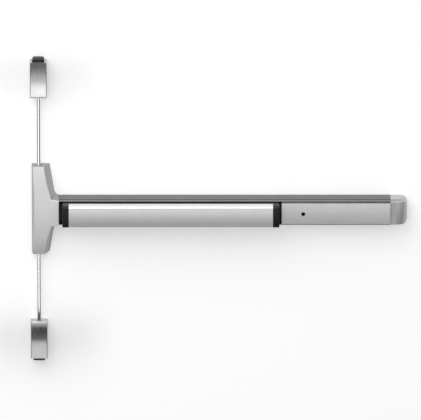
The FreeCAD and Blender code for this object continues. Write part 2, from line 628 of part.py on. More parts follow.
def rocker_bracket(label, pivot):
    b = body(label)
    pad(b, FRONT, "rail_web", "seat_thick", box("-seat_half", "-seat_out", "seat_half", "seat_out"))
    for sign in ("", "-"):
        pad(b, FRONT, "rail_web + seat_thick", "seat_top - rail_web - seat_thick",
            box("-seat_cheek", f"{sign}seat_in", "seat_cheek", f"{sign}seat_out"))
    cut(b, PLAN, "0", "60", ("0", "-pivot_out", "pivot_radius"), both=True)
    cut(b, FRONT, "rail_web + seat_thick", "seat_thick",
        ("-seat_screw_x", "seat_screw_z", "small_screw"), ("seat_screw_x", "-seat_screw_z", "small_screw"))
    rounded(b, "4", lambda e: runs(e, Z) and e.BoundBox.YMax < -30)
    place(b, pivot, "0", "0")
    keep(b)


def pivot_pins():
    pins = []
    for pivot in ("pivot_left", "pivot_right"):
        pin = doc.addObject("Part::Cylinder", "pivot_pin")
        pin.setExpression("Radius", bound("pivot_radius"))
        pin.setExpression("Height", bound("2 * (seat_out + 1)"))
        place(pin, pivot, "-pivot_out", "-(seat_out + 1)")
        pins.append(pin)
    made = doc.addObject("Part::Compound", "rocker_pivot_pins")
    made.Links = pins
    doc.recompute()
    keep(made, "rocker_pivot_pins")


def spring_anchor():
    b = body("spring_anchor")
    pad(b, FRONT, "rail_web", "seat_thick", box("0", "-anchor_half", "anchor_foot", "anchor_half"))
    pad(b, FRONT, "rail_web + seat_thick", "anchor_top - rail_web - seat_thick",
        box("0", "-anchor_half", "anchor_thick", "anchor_half"))
    cut(b, SIDE, "anchor_thick", "anchor_thick",
        box("-(link_out + 1)", "-(link_thick / 2 + 0.8)", "-(rail_web + seat_thick)", "link_thick / 2 + 0.8"))
    cut(b, FRONT, "rail_web + seat_thick", "seat_thick",
        ("anchor_foot / 2 + 1", "seat_screw_z", "small_screw"),
        ("anchor_foot / 2 + 1", "-seat_screw_z", "small_screw"))
    place(b, "anchor_x", "0", "0")
    keep(b)


def coil(label, length, turns):
    """A compression spring along +Z from zero."""
    helix = doc.addObject("Part::Helix", label + "_path")
    helix.setExpression("Radius", bound("coil_radius"))
    helix.setExpression("Height", bound(f"{length} - 2 * wire_radius"))
    helix.setExpression("Pitch", bound(f"({length} - 2 * wire_radius) / {turns}"))
    helix.Placement = Placement(Vector(0, 0, number("wire_radius")), Rotation())
    wire = doc.addObject("Part::Circle", label + "_wire")
    wire.setExpression("Radius", bound("wire_radius"))
    wire.Placement = Placement(Vector(number("coil_radius"), 0, number("wire_radius")), Rotation(X, 90))
    sweep = doc.addObject("Part::Sweep", label)
    sweep.Sections = [wire]
    sweep.Spine = (helix, ["Edge1"])
    sweep.Solid = True
    sweep.Frenet = True
    doc.recompute()
    return sweep


def springs():
    back = coil("return_spring", "(anchor_x - collar_x - collar_thick - 0.6)", 7)
    place(back, "collar_x + collar_thick + 0.3", "-spring_out", "0", Y, 90)
    keep(back, "return_spring")
    for label, sign, angle in (("top_latch_spring", "", 0), ("bottom_latch_spring", "-", 180)):
        one = coil(label, "(bolt_near - latch_near - 5.6)", 6)
        place(one, "0", "-rod_out", f"{sign}(latch_near + 5.3)", Y, angle)
        keep(one, label)


def dogging():
    b = body("dogging_housing")
    pad(b, FRONT, "rail_web", "seat_thick", box("-house_foot", "-house_outer", "house_foot", "house_outer"))
    for sign in ("", "-"):
        pad(b, FRONT, "rail_web + seat_thick", "house_top - rail_web - seat_thick",
            box("-house_half", f"{sign}house_in", "house_half", f"{sign}house_outer"))
    pad(b, FRONT, "house_top - seat_thick", "seat_thick",
        box("-house_half", "-house_outer", "house_half", "house_outer"))
    cut(b, FRONT, "house_top", "seat_thick", ("0", "0", "shaft_bore"))
    cut(b, FRONT, "rail_web + seat_thick", "seat_thick", ("-0.8 * house_foot", "11", "small_screw"),
        ("0.8 * house_foot", "-11", "small_screw"))
    place(b, "dog_x", "0", "0")
    keep(b)
    shaft = body("dogging_shaft")
    turn(shaft, "XZ_Plane", [
        ("0", "shaft_back"), ("shaft_radius", "shaft_back"), ("shaft_radius", "house_top + 0.4"),
        ("shaft_collar", "house_top + 0.4"), ("shaft_collar", "house_top + 3"),
        ("shaft_radius", "house_top + 3"),
        ("shaft_radius", "shaft_front"), ("0", "shaft_front")], "V_Axis")
    corner = "key_flat / 2 / cos(30deg)"
    cut(shaft, PLAN, "shaft_front", "7",
        [(f"{corner} * cos({a}deg)", f"{corner} * sin({a}deg)") for a in range(0, 360, 60)])
    place(shaft, "dog_x", "0", "0", X, 90)
    keep(shaft)
    hook = body("dogging_hook")
    pad(hook, FRONT, "hook_in", "house_top - seat_thick - 0.5 - hook_in", ("0", "0", "hook_hub"))
    r, q = "hook_outer", "hook_inner"
    pad(hook, FRONT, "hook_in", "hook_out - hook_in", [
        (f"{r} * cos(258deg)", f"{r} * sin(258deg)"),
        (f"{r} * cos(312deg)", f"{r} * sin(312deg)", f"{r} * cos(285deg)", f"{r} * sin(285deg)"),
        (f"{q} * cos(312deg)", f"{q} * sin(312deg)"),
        (f"{q} * cos(258deg)", f"{q} * sin(258deg)", f"{q} * cos(285deg)", f"{q} * sin(285deg)")])
    pad(hook, FRONT, "hook_in", "hook_out - hook_in", [
        ("5 * cos(325deg)", "5 * sin(325deg)"), (f"{q} * cos(311deg)", f"{q} * sin(311deg)"),
        (f"({q} + 1) * cos(300deg)", f"({q} + 1) * sin(300deg)"), (f"{q} * cos(291deg)", f"{q} * sin(291deg)"),
        ("5 * cos(275deg)", "5 * sin(275deg)")])
    cut(hook, FRONT, "30", "30", ("0", "0", "shaft_radius"))
    place(hook, "dog_x", "0", "0")
    keep(hook)


def bracket_screws():
    group("bracket_screws", pan_screw("bracket_screw", "small_screw", "2.8", "3.6", "1.6"), bracket_spots())


# ---- far end -------------------------------------------------------------------------------

def end_form(label, inset, end_inset):
    b = body(label)
    w = inset
    start = "cap_start" if inset == "0" else "cap_start - 1"
    end = f"cap_end - {end_inset}"
    half = f"(cap_half - {w})"
    c = f"(cap_corner - {w})"
    pad(b, FRONT, "0", f"cap_lip_out - {w}", [
        (start, f"-{half}"), (f"{end} - {c}", f"-{half}"),
        (end, f"-({half} - {c})", f"{end} - 0.293 * {c}", f"-({half} - 0.293 * {c})"),
        (end, f"{half} - {c}"),
        (f"{end} - {c}", half, f"{end} - 0.293 * {c}", f"{half} - 0.293 * {c}"),
        (start, half)])
    cut(b, PLAN, "0", "4 * cap_half", [
        ("cap_lip", f"-(cap_lip_out - {w})"),
        ("cap_end", f"-(cap_end_out - {w})", "cap_mid_x", f"-(cap_mid_out - {w})"),
        ("cap_end + 10", f"-(cap_end_out - {w})"), ("cap_end + 10", "-60"), ("cap_lip", "-60")], both=True)
    for sign in ("", "-"):
        cut(b, FRONT, "60", "60 - (cap_ledge - " + w + ")",
            box("cap_start - 2", f"{sign}(ledge_half - {w})", "cap_end + 1", f"{sign}(cap_half + 2)"))
    return b


def end_cap():
    outer = end_form("end_outer", "0", "0")
    inner = end_form("end_inner", "cap_wall", "cap_end_wall")
    hollow = doc.addObject("Part::Cut", "end_hollow")
    hollow.Base = outer
    hollow.Tool = inner
    drills = body("end_drills")
    for sign in ("", "-"):
        pad(drills, SIDE, "cap_end - 30", "40", ("-end_screw_out", f"{sign}end_screw_z", "small_screw + 0.1"))
    made = doc.addObject("Part::Cut", "end_cap_drilled")
    made.Base = hollow
    made.Tool = drills
    for sign in ("", "-"):
        sink = doc.addObject("Part::Cylinder", "screw_sink")
        sink.Radius = 3.3
        sink.Height = 10
        place(sink, "cap_end - 2", "-end_screw_out", f"{sign}end_screw_z", Y, 90)
        sunk = doc.addObject("Part::Cut", "end_cap_sunk")
        sunk.Base = made
        sunk.Tool = sink
        made = sunk
    doc.recompute()
    keep(made, "end_cap")
    screw = pan_screw("end_screw", "small_screw", "3", "10", "1.8")
    spots = [("cap_end - 2", "-end_screw_out", f"{s}end_screw_z", Y, 90) for s in ("", "-")]
    group("end_cap_screws", screw, spots)


def end_bracket():
    b = body("end_bracket")
    pad(b, FRONT, "0", "end_plate_thick",
        box("end_plate_start", "-end_plate_half", "end_plate_end", "end_plate_half"))
    pad(b, FRONT, "rail_web + 0.3", "plate_thick",
        box("end_tongue", "-end_plate_half", "end_plate_start + 4", "end_plate_half"))
    pad(b, FRONT, "end_plate_thick", "end_tab_top - end_plate_thick",
        box("end_tab_x - 3", "-end_tab_half", "end_tab_x", "end_tab_half"))
    cut(b, FRONT, "end_plate_thick", "end_plate_thick",
        ("end_hole_x", "end_hole_z", "fix_hole"), ("end_hole_x", "-end_hole_z", "fix_hole"))
    cut(b, FRONT, "rail_web + 3", "plate_thick + 0.5",
        ("rail_screw_far", "rail_screw_z", "small_screw"), ("rail_screw_far", "-rail_screw_z", "small_screw"))
    cut(b, SIDE, "end_tab_x", "3", ("-end_screw_out", "end_screw_z", "small_screw"),
        ("-end_screw_out", "-end_screw_z", "small_screw"))
    keep(b)


# ---- rods and latches ----------------------------------------------------------------------

def cover_screws():
    screw = pan_screw("cover_screw", "small_screw", "2.6", "7", "1.4")
    spots = []
    for x in ("-cover_screw_x", "cover_screw_x"):
        spots.append((x, "-cover_screw_out", "cover_half", X, 0))
        spots.append((x, "-cover_screw_out", "-cover_half", X, 180))
    group("cover_screws", screw, spots)


def rod(name, sign, angle):
    """Rod, fork end, lock nut and latch bolt, drawn going up and turned over for the lower rod."""
    bar = doc.addObject("Part::Cylinder", name + "_rod")
    bar.setExpression("Radius", bound("rod_radius"))
    bar.setExpression("Height", bound("rod_end - rod_start"))
    place(bar, "0", "-rod_out", f"{sign}rod_start", Y, angle)
    keep(bar, name + "_rod")

    fork = body(name + "_rod_connector")
    pad(fork, FRONT, "clevis_in", "clevis_out - clevis_in",
        box("-clevis_half", "pin_z - fork_below", "clevis_half", "pin_z + clevis_length"))
    cut(fork, SIDE, "0", "4 * clevis_half",
        box("-fork_out", "pin_z - fork_below - 1", "-fork_in", "pin_z + fork_above"), both=True)
    flip = "" if sign == "" else "-"
    cut(fork, FRONT, "clevis_out + 1", "20",
        (f"{flip}(-0.35)", "pin_z", f"{flip}(1.28)", "pin_z", "pin_radius + pin_slack"))
    cut(fork, PLAN, "pin_z + clevis_length", "pin_z + clevis_length - rod_start", ("0", "-rod_out", "rod_radius"))
    place(fork, "0", "0", "0", Y, angle)
    keep(fork)

    nut = body(name + "_rod_locknut")
    corner = "nut_flat / 2 / cos(30deg)"
    pad(nut, PLAN, "0", "nut_height",
        [(f"{corner} * cos({a}deg)", f"{corner} * sin({a}deg)") for a in range(0, 360, 60)])
    cut(nut, PLAN, "nut_height", "nut_height", ("0", "0", "rod_radius"))
    place(nut, "0", "-rod_out", f"{sign}(pin_z + clevis_length)", Y, angle)
    keep(nut)

    tip = body(name + "_bolt")
    pad(tip, PLAN, "bolt_near", "bolt_head - bolt_near + 1",
        box("-shank_half", "-shank_out", "shank_half", "-shank_in"))
    pad(tip, PLAN, "bolt_head", "bolt_tip - bolt_head", box("-bolt_half", "-bolt_out", "bolt_half", "-bolt_in"))
    cut(tip, PLAN, "bolt_near + 12", "12.5", ("0", "-rod_out", "rod_radius"))
    rounded(tip, "bolt_chamfer", lambda e: abs(e.BoundBox.ZMin - number("bolt_tip")) < 0.01
            and abs(e.BoundBox.ZMax - number("bolt_tip")) < 0.01, "Chamfer")
    place(tip, "0", "0", "0", Y, angle)
    keep(tip)


def latch(name, sign, angle):
    base = body(name + "_latch_base")
    flip = "" if sign == "" else "-"
    pad(base, FRONT, "0", "plate_thick",
        box("-latch_plate_half", "latch_near + latch_wall + 0.3", "latch_plate_half", "latch_far - latch_wall - 0.3"))
    pad(base, FRONT, "plate_thick", "17",
        box("-10", "latch_near + latch_wall + 0.5", "10", "latch_near + 5"))
    pad(base, FRONT, "plate_thick", "11",
        box(f"{flip}(bolt_half + 1)", "ear_z - 5", f"{flip}(latch_half - latch_wall - 0.3)", "ear_z + 5"))
    cut(base, PLAN, "latch_near + 6", "6", ("0", "-rod_out", "rod_hole"))
    cut(base, FRONT, "plate_thick", "plate_thick",
        *[(f"{a}latch_hole_x", z, "latch_fix_hole")
          for a in ("", "-") for z in ("latch_hole_near", "latch_hole_far")])
    ear_face = "latch_half" if sign == "" else "-bolt_half"
    cut(base, SIDE, ear_face, "7", ("-ear_out", "ear_z", "small_screw"))
    place(base, "0", "0", "0", Y, angle)
    keep(base)

    case = body(name + "_latch_cover")
    w = "latch_wall"
    pad(case, SIDE, "0", "2 * latch_half", [
        ("0", "latch_near"), ("-latch_low_out", "latch_near"),
        ("-latch_out", "latch_bend", "-latch_mid_out", "latch_mid_z"),
        ("-latch_out", "latch_far"), ("0", "latch_far")], both=True)
    rounded(case, "2", lambda e: e.BoundBox.XLength < 0.01 and e.BoundBox.YMax < -10)
    cut(case, SIDE, "0", f"2 * (latch_half - {w})", [
        ("1", f"latch_near + {w}"), (f"-(latch_low_out - {w})", f"latch_near + {w}"),
        (f"-(latch_out - {w})", "latch_bend", f"-(latch_mid_out - {w})", "latch_mid_z"),
        (f"-(latch_out - {w})", f"latch_far - {w}"), ("1", f"latch_far - {w}")], both=True)
    cut(case, PLAN, "latch_near + 3", "6", ("0", "-rod_out", "rod_hole"))
    cut(case, PLAN, "latch_far + 1", "4",
        box("-(bolt_half + 0.5)", "-(bolt_out + 0.5)", "bolt_half + 0.5", "-(bolt_in - 0.5)"))
    cover_face = "latch_half + 1" if sign == "" else "-(latch_half - 3)"
    cut(case, SIDE, cover_face, "4", ("-ear_out", "ear_z", "small_screw"))
    place(case, "0", "0", "0", Y, angle)
    keep(case)


def latch_screws():
    screw = pan_screw("latch_screw", "small_screw", "2.4", "3.6", "1.2")
    spots = [("latch_half", "-ear_out", f"{s}ear_z", Y, 90) for s in ("", "-")]
    group("latch_cover_screws", screw, spots)


chassis_plate()
chassis_cover()
cover_screws()
crank_pivots()
slide_guides()
crank("top_crank", "", 0)
crank("bottom_crank", "-", 180)
slide_plate()
drive_link()
rail()
rail_filler()
push_pad()
pad_cap_left()
pad_cap("pad_cap_right", "right_reach", 0)
for side in ("left", "right"):
    pad_bracket("pad_bracket_" + side, "pivot_" + side)
    rocker("rocker_" + side, "pivot_" + side)
    rocker_bracket("rocker_bracket_" + side, "pivot_" + side)
pivot_pins()
spring_anchor()
springs()
dogging()
bracket_screws()
end_cap()
end_bracket()
for name, sign, angle in (("top", "", 0), ("bottom", "-", 180)):
    rod(name, sign, angle)
    latch(name, sign, angle)
latch_screws()

doc.recompute()
for thing in doc.Objects:
    if any(word in thing.State for word in ("Invalid", "Error")):
        raise RuntimeError(f"{thing.Name} did not build: {thing.InList[0].Label}")
for thing in nodes:
    shape = thing.Shape
    if shape.isNull() or not shape.isValid() or not shape.Solids:
        raise RuntimeError(f"{thing.Label} is not a sound solid")
    shape.exportStep(f"parts/{thing.Label}.step")
    box_now = shape.BoundBox
    print(f"{thing.Label}: {len(shape.Solids)} solids, {shape.Volume:.0f} mm3, "
          f"X {box_now.XMin:.1f}..{box_now.XMax:.1f} Y {box_now.YMin:.1f}..{box_now.YMax:.1f} "
          f"Z {box_now.ZMin:.1f}..{box_now.ZMax:.1f}")
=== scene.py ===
import bmesh
import bpy
import json
import math
from mathutils import Matrix, Vector


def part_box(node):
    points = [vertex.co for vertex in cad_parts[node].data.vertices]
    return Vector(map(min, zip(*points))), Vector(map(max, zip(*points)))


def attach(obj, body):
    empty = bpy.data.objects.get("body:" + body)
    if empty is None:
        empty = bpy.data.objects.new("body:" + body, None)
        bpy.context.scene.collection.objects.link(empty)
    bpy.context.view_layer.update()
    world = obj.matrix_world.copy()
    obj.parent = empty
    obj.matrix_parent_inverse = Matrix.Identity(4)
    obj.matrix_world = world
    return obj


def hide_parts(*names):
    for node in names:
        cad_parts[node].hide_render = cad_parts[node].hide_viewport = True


# Looks of the panic exit bar: metres, with the door face at Y = 0 and the rods on X = 0.

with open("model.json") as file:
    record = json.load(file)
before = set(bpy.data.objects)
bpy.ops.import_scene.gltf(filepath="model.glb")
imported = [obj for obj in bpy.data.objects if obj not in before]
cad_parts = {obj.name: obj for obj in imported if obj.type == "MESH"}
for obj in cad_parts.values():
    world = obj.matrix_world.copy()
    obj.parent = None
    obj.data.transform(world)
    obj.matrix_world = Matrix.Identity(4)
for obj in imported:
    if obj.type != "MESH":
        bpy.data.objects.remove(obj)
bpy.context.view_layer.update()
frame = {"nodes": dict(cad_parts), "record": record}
nodes = frame["nodes"]
scene = bpy.context.scene

MM = 0.001
WHITE = (1, 1, 1, 1)
GRAIN_SHARE = 0.6
CLOUD_SCALE = 26.0
FINE_DETAIL = 3.0
CREASE_ANGLE = 32.0


# ---- materials -----------------------------------------------------------------------------

def new_material(name):
    """A material with its node tree, its shader and the piece's own coordinates."""
    made = bpy.data.materials.new(name)
    made.use_nodes = True
    tree = made.node_tree
    shader = tree.nodes["Principled BSDF"]
    place = tree.nodes.new("ShaderNodeTexCoord")
    return made, tree, shader, place.outputs["Object"]


def noise(tree, place, stretch, scale, detail=2.0, rough=0.5):
    """Noise drawn out along one axis by the three stretch factors."""
    mapping = tree.nodes.new("ShaderNodeMapping")
    mapping.inputs["Scale"].default_value = stretch
    tree.links.new(place, mapping.inputs["Vector"])
    made = tree.nodes.new("ShaderNodeTexNoise")
    made.inputs["Scale"].default_value = scale
    made.inputs["Detail"].default_value = detail
    made.inputs["Roughness"].default_value = rough
    tree.links.new(mapping.outputs["Vector"], made.inputs["Vector"])
    return made.outputs["Fac"]


def ramp(tree, value, low, high, start=0.3, end=0.7):
    """A grey or coloured ramp over a value."""
    made = tree.nodes.new("ShaderNodeValToRGB")
    made.color_ramp.elements[0].position = start
    made.color_ramp.elements[1].position = end
    for element, colour in zip(made.color_ramp.elements, (low, high)):
        element.color = tuple(colour) + (1.0,) if len(colour) == 3 else colour
    tree.links.new(value, made.inputs["Fac"])
    return made.outputs["Color"]


def spread(tree, value, low, high):
    """The middle half of a noise value, stretched from low to high."""
    made = tree.nodes.new("ShaderNodeMapRange")
    made.inputs["To Min"].default_value = low
    made.inputs["To Max"].default_value = high
    made.inputs["From Min"].default_value = 0.25
    made.inputs["From Max"].default_value = 0.75
    tree.links.new(value, made.inputs["Value"])
    return made.outputs["Result"]


def bump(tree, shader, value, strength, distance):
    made = tree.nodes.new("ShaderNodeBump")
    made.inputs["Strength"].default_value = strength
    made.inputs["Distance"].default_value = distance
    tree.links.new(value, made.inputs["Height"])
    tree.links.new(made.outputs["Normal"], shader.inputs["Normal"])


ALONG_X = (0.01, 1.0, 1.0)
ALONG_Z = (1.0, 1.0, 0.01)
NEARLY_Z = (1.0, 1.0, 0.05)
EVEN = (1.0, 1.0, 1.0)


def metal(name, dark, light, rough_low, rough_high, stretch, scale=900.0, metallic=1.0, grain=0.05,
          depth=0.00004):
    """Satin metal whose grain is drawn out along the axis with the smallest stretch."""
    made, tree, shader, place = new_material(name)
    shader.inputs["Metallic"].default_value = metallic
    grain_value = noise(tree, place, stretch, scale, FINE_DETAIL, 0.6)
    cloud = noise(tree, place, EVEN, CLOUD_SCALE, FINE_DETAIL)
    mixed = tree.nodes.new("ShaderNodeMath")
    mixed.operation = "MULTIPLY_ADD"
    tree.links.new(grain_value, mixed.inputs[0])
    mixed.inputs[1].default_value = GRAIN_SHARE
    scaled = tree.nodes.new("ShaderNodeMath")
    scaled.operation = "MULTIPLY"
    tree.links.new(cloud, scaled.inputs[0])
    scaled.inputs[1].default_value = 1.0 - GRAIN_SHARE
    tree.links.new(scaled.outputs[0], mixed.inputs[2])
    tree.links.new(ramp(tree, mixed.outputs[0], dark, light), shader.inputs["Base Color"])
    tree.links.new(spread(tree, grain_value, rough_low, rough_high), shader.inputs["Roughness"])
    bump(tree, shader, grain_value, grain, depth)
    return made


cover_steel = metal("brushed_cover_steel", (0.88,) * 3, (0.98,) * 3, 0.42, 0.54, ALONG_Z, metallic=0.5)
# A darker copy of the cover steel: painted shade for the cover's side faces.
cover_painted_side_shade = metal("satin_painted_side_shade", (0.34,) * 3, (0.42,) * 3, 0.42, 0.54, ALONG_Z, metallic=0.8)
pad_steel = metal("brushed_pad_steel", (0.76,) * 3, (0.86,) * 3, 0.40, 0.48, ALONG_X)
rail_metal = metal("anodised_rail", (0.17,) * 3, (0.22,) * 3, 0.38, 0.5, ALONG_X)
rod_chrome = metal("satin_chrome_rod", (0.84,) * 3, (0.94,) * 3, 0.16, 0.24, EVEN, 400.0, grain=0.02)
end_paint = metal("cast_end_cap", (0.46,) * 3, (0.56,) * 3, 0.40, 0.52, NEARLY_Z, 500.0, metallic=0.45)
latch_paint = metal("latch_case_steel", (0.46,) * 3, (0.56,) * 3, 0.26, 0.36, ALONG_Z, 500.0)
zinc = metal("zinc_plated_steel", (0.42, 0.43, 0.42), (0.58, 0.58, 0.57), 0.28, 0.42, EVEN, 160.0)
spring_steel = metal("dark_spring_steel", (0.20,) * 3, (0.28,) * 3, 0.25, 0.4, EVEN, 300.0)
bolt_iron = metal("blackened_bolt", (0.02,) * 3, (0.05,) * 3, 0.35, 0.5, EVEN, 300.0, metallic=0.6)


def painted_shade_by_height(material, heights, factors):
    """Paint light and shade gently into a finish's colour over the height of its piece."""
    tree = material.node_tree
    shader = tree.nodes["Principled BSDF"]
    colour = shader.inputs["Base Color"].links[0].from_socket
    place = tree.nodes.new("ShaderNodeTexCoord")
    parts = tree.nodes.new("ShaderNodeSeparateXYZ")
    tree.links.new(place.outputs["Object"], parts.inputs[0])
    along = tree.nodes.new("ShaderNodeMapRange")
    along.inputs["From Min"].default_value = heights[0]
    along.inputs["From Max"].default_value = heights[-1]
    tree.links.new(parts.outputs["Z"], along.inputs["Value"])
    shades = tree.nodes.new("ShaderNodeValToRGB")
    span = heights[-1] - heights[0]
    while len(shades.color_ramp.elements) < len(heights):
        shades.color_ramp.elements.new(0.5)
    for element, height, factor in zip(shades.color_ramp.elements, heights, factors):
        element.position = (height - heights[0]) / span
        element.color = (factor, factor, factor, 1.0)
    tree.links.new(along.outputs["Result"], shades.inputs["Fac"])
    product = tree.nodes.new("ShaderNodeMix")
    product.data_type = "RGBA"
    product.blend_type = "MULTIPLY"
    product.inputs["Factor"].default_value = 1.0
    tree.links.new(colour, product.inputs["A"])
    tree.links.new(shades.outputs["Color"], product.inputs["B"])
    tree.links.new(product.outputs["Result"], shader.inputs["Base Color"])


# Painted shade: the cover's colour is darker towards its top and bottom ends, brightest just below the
# middle.
COVER_HEIGHTS = (-0.10, -0.06, -0.01, 0.05, 0.10)
COVER_PAINTED_SHADE = (0.86, 1.0, 0.97, 0.80, 0.70)
painted_shade_by_height(cover_steel, COVER_HEIGHTS, COVER_PAINTED_SHADE)

PLASTIC_SHINE = 0.35


def plastic(name, dark, light, rough_low, rough_high):
    """Moulded plastic with a fine pebbled skin."""
    made, tree, shader, place = new_material(name)
    shader.inputs["Specular IOR Level"].default_value = PLASTIC_SHINE
    fine = noise(tree, place, EVEN, 1400.0, 2.0)
    cloud = noise(tree, place, EVEN, 40.0, FINE_DETAIL)
    tree.links.new(ramp(tree, cloud, dark, light), shader.inputs["Base Color"])
    tree.links.new(spread(tree, cloud, rough_low, rough_high), shader.inputs["Roughness"])
    bump(tree, shader, fine, 0.25, 0.00003)
    return made


black_plastic = plastic("moulded_black_plastic", (0.003,) * 3, (0.007,) * 3, 0.30, 0.42)

# Painted shade: black for the shaded gap behind the pad's face.
GAP_SHADE_BLACK = (0.005, 0.005, 0.005, 1)
GAP_SHADE_ROUGHNESS = 0.38
PAD_GAP_SHADE_DEPTH = 51.0


def painted_gap_shade(name, skin, depth):
    """A finish whose look turns to a black, plastic-like finish from the given depth back to the door:
    painted shade for a gap.
    """
    made = skin.copy()
    made.name = name
    tree = made.node_tree
    front = tree.nodes["Principled BSDF"]
    ending = tree.nodes["Material Output"]
    back = tree.nodes.new("ShaderNodeBsdfPrincipled")
    back.inputs["Base Color"].default_value = GAP_SHADE_BLACK
    back.inputs["Roughness"].default_value = GAP_SHADE_ROUGHNESS
    back.inputs["Specular IOR Level"].default_value = PLASTIC_SHINE
    place = tree.nodes.new("ShaderNodeTexCoord")
    parts = tree.nodes.new("ShaderNodeSeparateXYZ")
    tree.links.new(place.outputs["Object"], parts.inputs[0])
    beyond = tree.nodes.new("ShaderNodeMath")
    beyond.operation = "GREATER_THAN"
    tree.links.new(parts.outputs["Y"], beyond.inputs[0])
    beyond.inputs[1].default_value = -depth * MM
    mixed = tree.nodes.new("ShaderNodeMixShader")
    tree.links.new(beyond.outputs[0], mixed.inputs["Fac"])
    tree.links.new(front.outputs[0], mixed.inputs[1])
    tree.links.new(back.outputs[0], mixed.inputs[2])
    tree.links.new(mixed.outputs[0], ending.inputs["Surface"])
    return made


# The pad's skin is painted black from 51 mm out back to the door, as painted shade for the gap between
# the pad and the rail's lips.
pad_face_with_gap_shade = painted_gap_shade("pad_skin_with_black_edges", pad_steel, PAD_GAP_SHADE_DEPTH)

FINISH = {
    "satin_aluminium": rail_metal, "satin_steel_skin": pad_steel, "chrome_rod": rod_chrome,
    "zinc_steel": zinc, "black_plastic": black_plastic, "grey_casting": end_paint,
    "latch_paint": latch_paint, "dark_bolt": bolt_iron, "spring_steel": spring_steel,
}
for part in frame["record"]["subparts"]:
    mesh = nodes[part["node"]].data
    mesh.materials.clear()
    mesh.materials.append(FINISH[part["material_slot"]])
nodes["chassis_cover"].data.materials[0] = cover_steel
nodes["push_pad"].data.materials[0] = pad_face_with_gap_shade


# ---- crisp machined edges ------------------------------------------------------------------

def show(mesh, name, body, *replaced):
    """Put a finished mesh in the scene on its body, in place of the nodes it stands for."""
    made = bpy.data.objects.new(name, mesh)
    scene.collection.objects.link(made)
    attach(made, body)
    if replaced:
        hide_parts(*replaced)
    return made


def body_named(node):
    """The body that a node belongs to."""
    return next(body for body, names in frame["record"]["behaviour"]["bodies"].items() if node in names)


WELD_DISTANCE = 0.000002
FLAT_ANGLE = 0.6
ROUNDING_SEGMENTS = 2


def applied(piece):
    """The mesh of a piece with its modifiers worked in."""
    bpy.context.view_layer.update()
    return bpy.data.meshes.new_from_object(piece.evaluated_get(bpy.context.evaluated_depsgraph_get()))


def softened(node, width):
    """A copy of a node with its sharp edges rounded by the width."""
    mesh = nodes[node].data.copy()
    work = bmesh.new()
    work.from_mesh(mesh)
    bmesh.ops.remove_doubles(work, verts=work.verts, dist=WELD_DISTANCE)
    bmesh.ops.dissolve_limit(work, angle_limit=math.radians(FLAT_ANGLE), verts=work.verts,
                             edges=work.edges)
    work.to_mesh(mesh)
    work.free()
    rough = bpy.data.objects.new(node + "_rough", mesh)
    scene.collection.objects.link(rough)
    rounding = rough.modifiers.new("rounding", "BEVEL")
    rounding.width = width
    rounding.segments = ROUNDING_SEGMENTS
    rounding.limit_method = "ANGLE"
    rounding.angle_limit = math.radians(CREASE_ANGLE)
    rounding.miter_outer = "MITER_ARC"
    rounding.harden_normals = True
    rounding.use_clamp_overlap = True
    finished = applied(rough)
    bpy.data.objects.remove(rough)
    finished.name = node + "_soft"
    return show(finished, node + "_soft", body_named(node), node)


ROUNDED_EDGES = {
    "rail": 0.0004, "end_cap": 0.0012, "top_latch_cover": 0.0008, "bottom_latch_cover": 0.0008,
    "top_bolt": 0.0006, "bottom_bolt": 0.0006, "pad_cap_left": 0.0005, "pad_cap_right": 0.0005,
}
for node, width in ROUNDED_EDGES.items():
    softened(node, width)


# ---- painted shade on the side faces of one pressing ---------------------------------------

def painted_shade_faces(node, second, is_second):
    """A copy of a node in which the faces picked by is_second take the second material, a darker copy
    painted as shade.
    """
    mesh = nodes[node].data.copy()
    mesh.name = node + "_finished"
    mesh.materials.append(second)
    for face in mesh.polygons:
        face.material_index = 1 if is_second(face) else 0
    return show(mesh, node + "_finished", body_named(node), node)


FLANK_LIMIT = 0.62
# The cover's side faces, picked by their normals, take the darker copy as painted shade.
painted_shade_faces("chassis_cover", cover_painted_side_shade, lambda face: abs(face.normal.y) < FLANK_LIMIT)


# ---- repeated screws -----------------------------------------------------------------------

HEAD_SIDES = 28
HEAD_DOME = ((1.0, 0.0), (1.0, 0.30), (0.97, 0.46), (0.88, 0.66), (0.72, 0.84), (0.52, 0.95), (0.30, 1.0))
RECESS_LENGTH = 1.15
RECESS_WIDTH = 0.16
RECESS_HEIGHT = 0.9
RECESS_MIDDLE = 0.95


